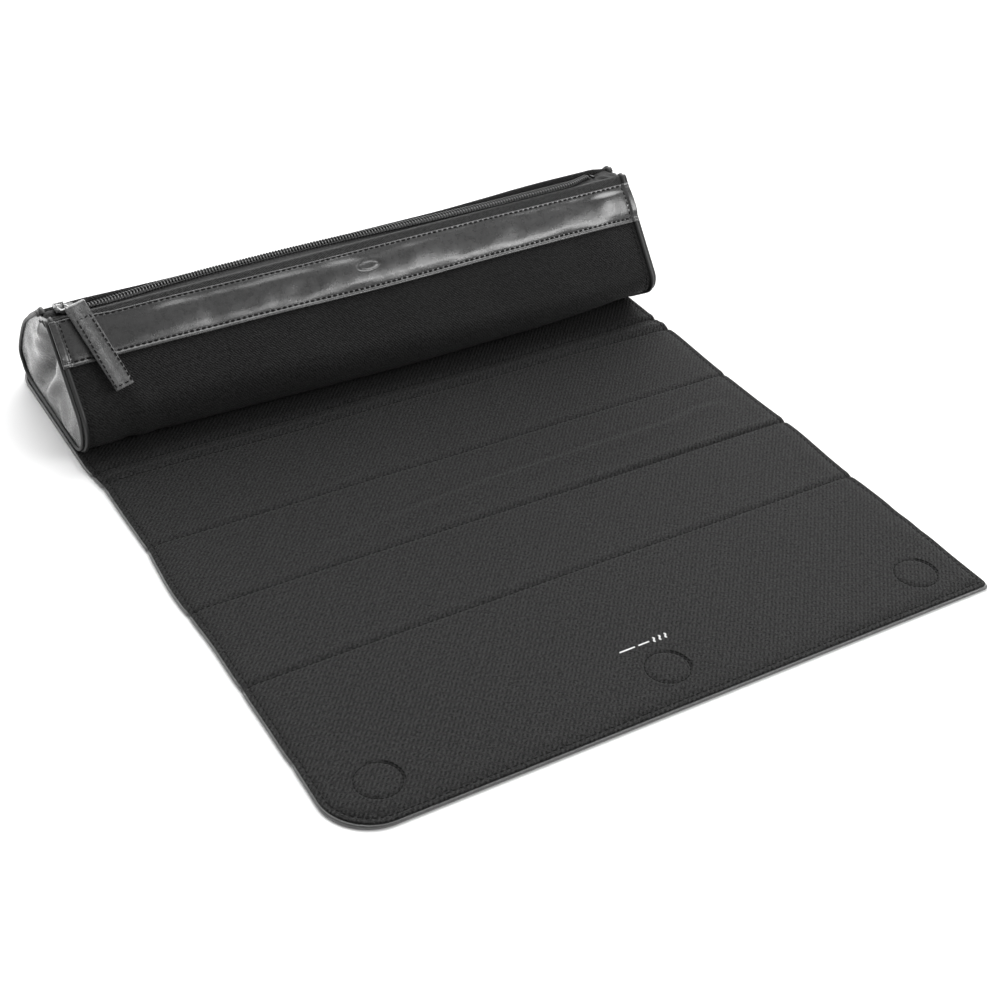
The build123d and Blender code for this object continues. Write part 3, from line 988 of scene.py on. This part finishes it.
def on_wall(x, s, offset):
    """A place on the soft wall and the wall's normal there, which faces outward near the front lip."""
    around = np.array([-0.4, 0, 0.4])
    surface = Wall(x + around).surface(s + np.tile(around[:, None], 3), offset)
    across, down = surface[1, 2] - surface[1, 0], surface[2, 1] - surface[0, 1]
    normal = unit(np.cross(down, across))
    if s < 40 and normal @ LIP_OUTWARD < 0:
        normal = -normal
    return surface[1, 1], normal


def wall_stitches(name, xs, s, offset, length, radius):
    """A seam along a row of places on the wall."""
    spots = [on_wall(*place) for place in zip(xs, s, offset + 0 * s)]
    places, normals = (np.array(column) for column in zip(*spots))
    directions = units(np.gradient(places, axis=0))
    return stitches_object(name, places, directions, normals, DARK_THREAD, length, radius)


def band_stitch_row(name, xs, s, length, radius):
    offset = BAND_THICK + BAND_GAP + band_relief(xs, s)
    return wall_stitches(f"band_{name}_stitches", xs, s, offset, length, radius)


def band_stitches():
    xs = spaced(-168.6, 168.6, 3.3)
    rows = [
        band_stitch_row("top", xs, band_high(xs) + TOP_SEAM, 2.5, 0.48),
        band_stitch_row("low", xs, band_low(xs) - LOW_SEAM, 2.5, 0.52),
    ]
    for side, x in (("left", -END_SEAM_X), ("right", END_SEAM_X)):
        s = spaced(band_high(x) + 3.0, band_low(x) - 3.0, 3.0)
        rows.append(band_stitch_row(side, 0 * s + x, s, 2.2, 0.36))
    return rows


# where the shell starts under the band, and where the layers inside it start and stop
SHELL_START = 21.0
INNER_START, INNER_STOP = 4.0, 9.0
INNER_ENDS = 5.0
# name, CAD node, material, slot, depth, thickness, then the distances from the two lips and from the ends
LAYERS = (
    ("pouch_outer", "pouch_shell", POUCH_NYLON, "woven_nylon", 0.0, 1.2, SHELL_START, 0.0, 0.3),
    ("pouch_pad", "pouch_padding", FOAM, "foam", 1.25, 3.0, INNER_START, INNER_STOP, INNER_ENDS),
    ("pouch_inner", "pouch_lining", LINING, "lining_cloth", 4.3, 0.8, INNER_START, INNER_STOP, INNER_ENDS),
)


def pouch_layers():
    """Shell, foam and lining, which follow each other's swell."""
    share = np.concatenate([spaced(0, 0.4, 0.0078), spaced(0.41, 0.95, 0.015), spaced(0.9535, 1.0, 0.0035)])
    made = []
    for name, node, material, slot, depth, thick, front, rear, ends in LAYERS:
        end = HALF_POUCH - ends
        wall = Wall(wall_columns(end, 2.6))
        x, s, e = wall_grid(wall, share, front, wall.end - rear, end)
        drop = round_over(e, thick / 2 - 0.03)
        outer = wall.surface(s, -depth - drop)
        inner = wall.surface(s, -depth - thick + drop)
        inner[..., 2] = np.maximum(inner[..., 2], outer[..., 2] + 0.3 * (inner[..., 2] < 9))
        piece = sheet_object(name, outer, inner, material, np.stack([x, s], -1))
        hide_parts(node)
        settle("pouch", slot, piece)
        made.append(piece)
    return made


def lip_facing():
    """The zipper's woven facing, turned over the front lip and sewn under the band."""
    wall = Wall(wall_columns(HALF_POUCH - 0.3, 2.6))
    x, s, e = wall_grid(wall, spaced(0, 1, 0.03), wall.start, band_high(wall.xs) + FACING_UNDER, HALF_POUCH)
    drop = round_over(e, 0.27)
    outer, inner = wall.surface(s, 0.05 - drop), wall.surface(s, drop - 0.55)
    return sheet_object("lip_facing", outer, inner, FACING_CLOTH_PAINTED_LIGHT, np.stack([x, s], -1))


def shell_end_stitches():
    made = []
    for side, x in (("left", -SHELL_SEAM_X), ("right", SHELL_SEAM_X)):
        s = spaced(band_low(x) + 2.5, SHELL_SEAM_END, 3.2)
        made.append(wall_stitches(f"shell_{side}_stitches", 0 * s + x, s, 0.0, 2.3, 0.34))
    return made


SIDES = {"left": -1, "right": 1}


def piping(side):
    """The corded seam round one end, and the thinner rolled edge of the end panel beside it."""
    made = []
    for name, x, offset, radius in (("piping", 174.2, 0.15, 1.35), ("piping_edge", 176.5, -0.75, 0.95)):
        wall = Wall([SIDES[side] * x])
        s = spaced(wall.start[0], wall.end[0], 1.6)[:, None]
        path = wall.surface(s, np.full_like(s, offset))[:, 0]
        path[:, 2] = np.maximum(path[:, 2], MAT_TOP - 0.35 + radius * 0.9)
        made.append(tube_object(f"{side}_{name}", path, radius, PIPING_LEATHER, 14))
    return made


def cap_swell(side, y, z, depth):
    """How far an end panel stands in (negative) or out; depth is the distance from its seam."""
    if side == "right":
        return -1.6 * smoothstep(1, 14, depth) + 0.5 * pouch_fine(y * 1.2, z * 1.2) * smoothstep(1, 8, depth)
    inner = smoothstep(0.5, 9, depth)
    # the panel buckles inward along a slanting line, and swells again in front of it and low at the back
    across = (y - 142) * 0.80 + (z - 34) * 0.60
    along = -(y - 142) * 0.60 + (z - 34) * 0.80
    valley = -9.0 * bump(across, 2 + 0.004 * along * along, 7) * bump(along, 2, 34)
    ridge = 4.0 * bump(across, -12, 4.5) * bump(along, -4, 24)
    ridge = ridge + 1.8 * bump(across, 15, 4) * bump(along, 6, 16)
    upper = -3.2 * bump(y, 137, 6) * bump(z, 52, 8) + 2.2 * bump(y, 146, 6) * bump(z, 55, 8)
    low = 2.0 * bump(y, 120, 12) * bump(z, 14, 7) - 2.0 * bump(y, 158, 10) * bump(z, 20, 8)
    return inner * (valley + ridge + upper + low + 0.55 * pouch_fine(y * 1.6, z * 1.6))


CAP_CENTRE = np.array([143.0, 31.0])
CAP_THICK = 1.4


def end_panel(side):
    """One end of the pouch: a soft leather panel sewn in along the piping."""
    sign = SIDES[side]
    wall = Wall([sign * HALF_POUCH])
    s = spaced(wall.start[0], wall.end[0], 1.5)[:, None]
    rim = wall.surface(s, np.full_like(s, -0.2))[:, 0, 1:]
    rim[:, 1] = np.maximum(rim[:, 1], MAT_TOP + 0.1)
    bridge = rim[-1] + (rim[0] - rim[-1]) * np.linspace(0, 1, 8)[1:-1, None]
    rim = np.concatenate([rim, bridge])
    shares = np.concatenate([[1.0, 0.985, 0.965, 0.94], np.linspace(0.91, 0.03, 30)])
    grid = CAP_CENTRE + shares[:, None, None] * (rim - CAP_CENTRE)[None]
    distance = (1 - shares)[:, None] * np.linalg.norm(rim - CAP_CENTRE, axis=1)[None] * 0.75
    plane = HALF_POUCH - 0.4 + cap_swell(side, grid[..., 0], grid[..., 1], distance)
    tip = HALF_POUCH - 0.4 + cap_swell(side, *CAP_CENTRE, 20.0)
    rows, cols = grid.shape[:2]
    count = rows * cols
    points = []
    for thick in (CAP_THICK, 0):
        points.append(np.concatenate([sign * (plane + thick)[..., None], grid], -1).reshape(-1, 3))
    points.append([(sign * (tip + thick), *CAP_CENTRE) for thick in (CAP_THICK, 0)])
    faces = grid_faces(rows, cols, wrap_cols=True) + grid_faces(rows, cols, count, wrap_cols=True)
    last = (rows - 1) * cols
    for c in range(cols):
        d = (c + 1) % cols
        faces.append((last + c, last + d, 2 * count))
        faces.append((count + last + d, count + last + c, 2 * count + 1))
        faces.append((c, d, count + d, count + c))
    uvs = np.concatenate([grid.reshape(-1, 2), grid.reshape(-1, 2), [CAP_CENTRE, CAP_CENTRE]])
    panel = add_object(f"{side}_end_panel", np.concatenate(points), faces, CAP_LEATHER, uvs)
    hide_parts(f"{side}_end_cap")
    return panel


band = leather_band()
band_threads = band_stitches()
outer, padding, lining = pouch_layers()
outer_threads = shell_end_stitches()
facing = lip_facing()
settle("pouch", "zipper_tape", facing)
for side in SIDES:
    cords = piping(side)
    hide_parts(f"{side}_end_piping")
    settle("pouch", "gloss_leather", *cords)
end_panels = [end_panel(side) for side in SIDES]
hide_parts("front_leather_band")
settle("pouch", "gloss_leather", band, *band_threads, *end_panels)
settle("pouch", "woven_nylon", *outer_threads)

# the flat cuts, taken along the middle of the pouch
middle = Wall([0.0])
BAND_CUT = (band_low(0.0) - band_high(0.0)) * MM
FACING_CUT = (band_high(0.0) + FACING_UNDER - middle.start[0]) * MM


# ---------------------------------------------------------------- the zipper

COIL_LEFT, COIL_RIGHT = (corner[0] for corner in node_box("zipper_coil_front"))
COIL_PITCH = 1.75
COIL_STEPS = 14  # points in one turn
COIL_WIDTH = 2.5  # of one side's loops
COIL_HEIGHT = 0.8  # half the height of a loop
COIL_WIRE = 0.42
COIL_TILT = 0.25  # the free coil leans towards the front
TAPE_HALF = 6.9


def coil_shift(x):
    """The coil's wander from the mouth's middle line: to the rear, to the front, then up to the rear lip."""
    across = 3.0 * smoothstep(-135, -75, x) - 7.5 * smoothstep(-50, 100, x) + 7.5 * smoothstep(138, 160, x)
    rise = 1.2 * smoothstep(-150, -105, x) - 0.7 * smoothstep(140, 162, x)
    return across, rise


def mouth_sheet(name, xs, shares, thick, place):
    """A strip of tape across the mouth. place gives x, u, the height and the flat cut's place."""
    grid = [[place(x, v) for x in xs] for v in shares]
    top = np.array([[mouth(x, u, height) for x, u, height, _ in row] for row in grid])
    under = np.array([[mouth(x, u, height - thick) for x, u, height, _ in row] for row in grid])
    return sheet_object(name, top, under, TAPE, np.array([[spot[3] for spot in row] for row in grid]))


def zipper_tape(side, sign):
    """One side's tape, from the coil to under the lip."""

    def place(x, v):
        shift, rise = coil_shift(x)
        inner = shift + sign * 0.3
        u = inner + (sign * TAPE_HALF - inner) * v
        sag = -0.35 * math.sin(math.pi * v) + 0.08 * float(lip_field(x, sign * 30.0)) + rise * (1 - v)
        return x, u, sag - TAPE_DEPTH, (x, u)

    tape = mouth_sheet(f"tape_{side}", spaced(-172, 172, 2.5), np.linspace(0, 1, 9), 0.6, place)
    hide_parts(f"zipper_tape_{side}")
    return tape


def coil(side, sign):
    """One side of the coil: a plastic wire wound in flat loops that lock into the other side's."""
    turns = int((COIL_RIGHT - COIL_LEFT) / COIL_PITCH)
    path = []
    for turn in np.arange(turns * COIL_STEPS) / COIL_STEPS:
        x = COIL_LEFT + 0.4 + turn * COIL_PITCH * 0.998
        angle = 2 * math.pi * turn
        shift, rise = coil_shift(x)
        u = sign * (COIL_WIDTH / 2 * (1 + math.cos(angle)) - 0.1)
        lean = COIL_TILT * u * smoothstep(-152, -135, x) * (1 - smoothstep(135, 150, x))
        path.append(mouth(x, shift + u, rise - TAPE_DEPTH + 1.0 + COIL_HEIGHT * math.sin(angle) + lean))
    piece = tube_object(f"coil_{side}", path, COIL_WIRE, COIL_PLASTIC, 6, sharp=180)
    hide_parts(f"zipper_coil_{side}")
    return piece


def bottom_stop():
    """The stop clamped over the coil's far end, where it sinks under the rear lip."""
    low, high = node_box("zipper_bottom_stop")
    x = (low[0] + high[0]) / 2
    across, rise = coil_shift(x)
    path = [mouth(x, across + u, rise - TAPE_DEPTH + 0.5) for u in spaced(-2.2, 2.2, 0.4)]
    stop = tube_object("bottom_stop", path, 0.7, BLACK_METAL, 12)
    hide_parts("zipper_bottom_stop")
    settle("pouch", "black_metal", stop)


# where each tape end starts and stops, how much it crumples and the seed of its crumples
TAPE_ENDS = {"left": (166.2, 176.6, 0.7, 51), "right": (160.0, 175.6, 0.45, 52)}


def tape_end(side):
    """The tapes' ends, folded over each other and gathered into the corner of the mouth."""
    near, far, amount, seed = TAPE_ENDS[side]
    crumple = ripple(seed, 6.5)

    def place(x, v):
        t = (x - near) / (far - near)
        height = 0.7 * float(crumple(x * 1.2, v * 7)) * (1 - v * v)
        if side == "left":
            lift = -0.9 + 1.0 * math.sin(math.pi * t) * (1 - 0.5 * v * v) - 3.4 * smoothstep(0.72, 1, t)
        else:
            lift = -1.6 + 0.9 * smoothstep(0.1, 0.6, t) - 1.6 * smoothstep(0.7, 1, t)
            lift = lift + 0.5 * smoothstep(-1, 1, v)
        return SIDES[side] * x, v * (7.2 + 0.5 * height), float(lift) + amount * height, (x, v * 7)

    xs, shares = np.linspace(near, far, 26), np.linspace(-1, 1, 30)
    piece = mouth_sheet(f"{side}_tape_end", xs, shares, 0.7, place)
    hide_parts(f"{side}_tape_tab")
    return piece


# ---------------------------------------------------------------- the pull tab

BAR = np.array(joint_data("pull_tab_flip")["pos_m"]) / MM
TAB_DOWN = unit((11.0, -33.6, -33.6))
TAB_ACROSS = unit(np.array([1.0, 0, 0]) - TAB_DOWN * TAB_DOWN[0])
TAB_OUT = np.cross(TAB_DOWN, TAB_ACROSS)
TAB_HALF = 5.6
TAB_FLARE = 0.2  # how much wider its free end is
TAB_LONG = 48.4
TAB_THICK = 1.45
TAB_LIFT = 1.4  # how far the strip stands off the leather under it
TAB_GAP = 0.77  # from the middle of each ply to the middle of the fold
TAB_SEAM = 1.75  # from the tab's edge to its seam
TAB_SEAM_TOP = 7.2
TAB_CORNER = 1.4
EDGE_STEPS = np.array([0, 0.08, 0.22, 0.42, 0.7, 1.0])


def tab_path():
    """Down distance and height of the strip's middle: up the back, round the bar and down the front."""
    down = np.concatenate([spaced(TAB_LONG, 4, 0.9), spaced(3.6, 0.4, 0.4)])
    gap = TAB_GAP + 0.45 * bump(down, 0, 3.0)
    turn = np.linspace(-math.pi / 2, math.pi / 2, 15)
    loop = (TAB_GAP + 0.45) * np.column_stack([-np.cos(turn), np.sin(turn)])
    path = np.concatenate([np.column_stack([down, -gap]), loop, np.column_stack([down, gap])[::-1]])
    path[:, 1] += TAB_LIFT * smoothstep(3, 16, path[:, 0])
    return path


def flare(down):
    return 1 + TAB_FLARE * smoothstep(6, TAB_LONG, down)


def tab_relief(width, down):
    """A groove where the seam pulls, a soft middle, and a small pressed diamond."""
    edge = np.minimum(TAB_HALF - np.abs(width), TAB_LONG - down)
    relief = -0.3 * bump(edge, TAB_SEAM, 0.45) * (down > 6.5)
    relief = relief - 0.25 * bump(down, TAB_SEAM_TOP, 0.5) * (np.abs(width) < TAB_HALF - 1.4)
    relief = relief + 0.3 * smoothstep(1.9, 3.4, edge) * smoothstep(8, 11, down)
    diamond = np.abs(width) / 2.0 + np.abs(down - 39.5) / 3.0
    return relief - 0.45 * bump(diamond, 1.0, 0.22) + 0.08 * pouch_fine(width * 5, down * 3)


def pull_tab():
    path = tab_path()
    run = run_along(path)
    tangent = units(np.gradient(path, axis=0))
    normal = np.column_stack([tangent[:, 1], -tangent[:, 0]])
    # the outside of the strip faces away from the fold
    outward = np.where((normal * np.column_stack([-0.3 + 0 * run, np.sign(path[:, 1])])).sum(1) < 0, -1, 1)
    normal = normal * outward[:, None]
    middle = spaced(1.35, 2 * TAB_HALF - 1.35, 0.33)
    places = np.concatenate([EDGE_STEPS, middle, 2 * TAB_HALF - EDGE_STEPS[::-1]]) - TAB_HALF
    from_end = np.minimum(run, run[-1] - run)
    inside = np.clip(TAB_CORNER**2 - (TAB_CORNER - from_end) ** 2, 0, None)
    narrow = np.where(from_end < TAB_CORNER, TAB_CORNER - np.sqrt(inside), 0)
    width = places[None] * (1 - narrow / TAB_HALF)[:, None]
    e = np.minimum((TAB_HALF - narrow)[:, None] - np.abs(width), from_end[:, None])
    drop = round_over(e, TAB_THICK / 2 - 0.04)
    down = path[:, 0][:, None] + 0 * width
    relief = tab_relief(width, down) * smoothstep(0.3, 1.2, e)
    layers = []
    for height in (TAB_THICK / 2 - drop + relief, -TAB_THICK / 2 + drop):
        flat = path[:, None] + normal[:, None] * height[..., None]
        wide = (width * flare(down))[..., None] * TAB_ACROSS
        layers.append(BAR + wide + flat[..., 0:1] * TAB_DOWN + flat[..., 1:2] * TAB_OUT)
    uv = np.stack([width, run[:, None] + 0 * width], -1)
    tab = sheet_object("pull_tab", *layers, TAB_LEATHER_PAINTED_LIGHT, uv)
    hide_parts("pull_tab_front_ply", "pull_tab_rear_ply")
    return tab


def tab_stitches():
    """The seam round each ply: along both edges, across the free end and across under the bar."""
    side, low, high = TAB_HALF - 1.8, TAB_LONG - 1.7, TAB_SEAM_TOP
    half = [(0.9, high + 0.9), (1.0, high), (side, high), (side, low)]
    flat, along = resample([(-x, y) for x, y in half] + half[::-1], 2.9)
    across, down = flat[:, :1], flat[:, 1:]
    lift = TAB_LIFT * smoothstep(3, 16, down)
    directions = along[:, :1] * TAB_ACROSS + along[:, 1:] * TAB_DOWN
    made = []
    for name, sign in (("front", 1), ("rear", -1)):
        out = sign * (TAB_THICK / 2 + TAB_GAP - 0.24) + lift
        places = BAR + across * flare(down) * TAB_ACROSS + down * TAB_DOWN + out * TAB_OUT
        ups = np.tile(sign * TAB_OUT, (len(places), 1))
        name = f"pull_tab_{name}_stitches"
        made.append(stitches_object(name, places, directions, ups, DARK_THREAD, 2.1, 0.34, 0.05))
    return made


LINK = np.array(joint_data("link_lift")["pos_m"]) / MM
LINK_BACK = np.array([0, *ZIP_ALONG])
LINK_ACROSS = unit(BAR - LINK - LINK_BACK * ((BAR - LINK) @ LINK_BACK))
LINK_ROUTE = ((0, -9.5), (12.6, -9.5), (12.6, -8.1), (5.0, -6.8), (3.2, 2.6), (0, 2.6))
LINK_R = 0.9


def link_path():
    """The wire's middle line: a wide front bar under the tab, and a narrow loop back through the bridge."""
    corners = np.array(LINK_ROUTE)
    path = []
    for before, here, after in zip(np.roll(corners, 1, 0), corners, np.roll(corners, -1, 0)):
        start, stop = here + LINK_R * unit(before - here), here + LINK_R * unit(after - here)
        for t in np.linspace(0, 1, 7):
            path.append((1 - t) ** 2 * start + 2 * t * (1 - t) * here + t * t * stop)
    return [LINK + a * LINK_ACROSS + b * LINK_BACK for a, b in path]


tapes = [zipper_tape("front", -1), zipper_tape("rear", 1)]
coils = [coil("front", -1), coil("rear", 1)]
bottom_stop()
tape_ends = [tape_end(side) for side in SIDES]
link = tube_object("link_wire", link_path(), 0.45, STEEL, 10, closed=True)
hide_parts("pull_link")
settle("link", "slider_metal", link)
tab = pull_tab()
tab_threads = tab_stitches()
settle("pouch", "zipper_tape", *tapes, *tape_ends)
settle("pouch", "zipper_coil", *coils)
settle("pull_tab", "gloss_leather", tab, *tab_threads)


# ---------------------------------------------------------------- CAD nodes that stay

KEPT = {
    "slider_body": BLACK_METAL,
    "slider_bridge": STEEL,
    "zipper_top_stops": BLACK_METAL,
    "flap_magnets": MAGNET,
    "base_steel_discs": STEEL,
    "flap_panel_pad": FOAM,
}
for name, material in KEPT.items():
    mesh = frame["nodes"][name].data
    mesh.materials.clear()
    mesh.materials.append(material)


# ---------------------------------------------------------------- floor, lights and camera


FLOOR_HALF = 4.0  # metres
SKY_FRONT = 0.32
SKY_BACK = 0.95
LENS = 62.8408
CAMERA_AT = (-0.38650, -0.64211, 0.53146)
CAMERA_TURN = (53.69954, -2.30350, -30.59624)
SUN_FROM = (0.38, 0.68, 0.78)
BOX_AT, BOX_TARGET, BOX_SIZE = (0.88, -1.02, 0.92), (0.0, 0.1, 0.05), (1.0, 0.55)


def floor_object():
    mesh = bpy.data.meshes.new("floor")
    corners = [(-1, -1), (1, -1), (1, 1), (-1, 1)]
    mesh.from_pydata([(x * FLOOR_HALF, y * FLOOR_HALF, 0) for x, y in corners], [], [(0, 1, 2, 3)])
    s = Shade("floor_paper")
    cloud = s.noise(s.solid(), 2.0)
    mesh.materials.append(s.finish(Base_Color=s.ramp(cloud, 0.3, 0.7, 0.86, 0.88), Roughness=0.8))
    obj = add_to_scene("floor", mesh)
    obj.location.z = -0.0002


def front_light():
    """A soft rectangular light in front of the object and to its right."""
    data = bpy.data.lights.new("front_box", "AREA")
    data.shape = "RECTANGLE"
    data.size, data.size_y = BOX_SIZE
    data.energy = 13
    obj = add_to_scene("front_box", data)
    obj.location = BOX_AT
    obj.rotation_euler = (Vector(BOX_TARGET) - Vector(BOX_AT)).to_track_quat("-Z", "Y").to_euler()


def sun():
    """A broad soft light from far behind the object, to its right."""
    data = bpy.data.lights.new("key", "SUN")
    data.angle = math.radians(75)
    data.energy = 4.2
    add_to_scene("key", data).rotation_euler = Vector(SUN_FROM).to_track_quat("Z", "Y").to_euler()


def camera():
    data = bpy.data.cameras.new("camera")
    data.sensor_width = 36.0
    data.lens = LENS
    obj = add_to_scene("camera", data)
    obj.location = CAMERA_AT
    obj.rotation_euler = Euler([math.radians(a) for a in CAMERA_TURN], "XYZ")
    bpy.context.scene.camera = obj


def sky():
    """An even pale surround that is brighter behind the object."""
    world = bpy.data.worlds.new("studio")
    world.use_nodes = True
    tree = world.node_tree
    back = tree.nodes["Background"]
    back.inputs["Color"].default_value = (1, 1, 1, 1)
    where = tree.nodes.new("ShaderNodeTexCoord")
    split = tree.nodes.new("ShaderNodeSeparateXYZ")
    side = tree.nodes.new("ShaderNodeMapRange")
    side.inputs["From Min"].default_value = -1.0
    side.inputs["To Min"].default_value = SKY_FRONT
    side.inputs["To Max"].default_value = SKY_BACK
    tree.links.new(where.outputs["Generated"], split.inputs[0])
    tree.links.new(split.outputs["Y"], side.inputs["Value"])
    tree.links.new(side.outputs[0], back.inputs["Strength"])
    bpy.context.scene.world = world


camera()
floor_object()
sky()
sun()
front_light()
bpy.context.scene.view_settings.view_transform = "Standard"
